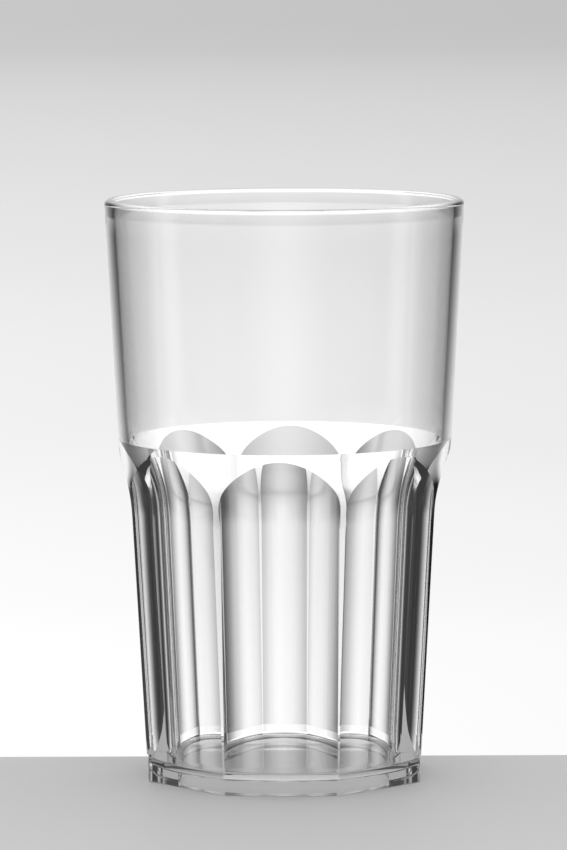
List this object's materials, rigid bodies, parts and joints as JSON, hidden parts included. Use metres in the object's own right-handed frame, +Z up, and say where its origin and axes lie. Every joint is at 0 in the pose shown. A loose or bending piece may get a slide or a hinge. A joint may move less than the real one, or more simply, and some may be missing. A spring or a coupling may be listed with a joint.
{
  "type": "plastic drinking glass",
  "caption": "Clear plastic tumbler with a round upper wall, arched facets round the lower body and an eight-sided plinth.",
  "frame": {"origin": "middle of the underside, on the plane that the plinth stands on", "axes": "+Z up through the mouth, -Y towards one facet"},
  "size_m": [0.0798, 0.0798, 0.129],
  "materials": {
    "clear_plastic": "clear and polished, like moulded polycarbonate"
  },
  "bodies": {
    "root": {"drinking_glass": "clear_plastic"}
  },
  "joints": []
}
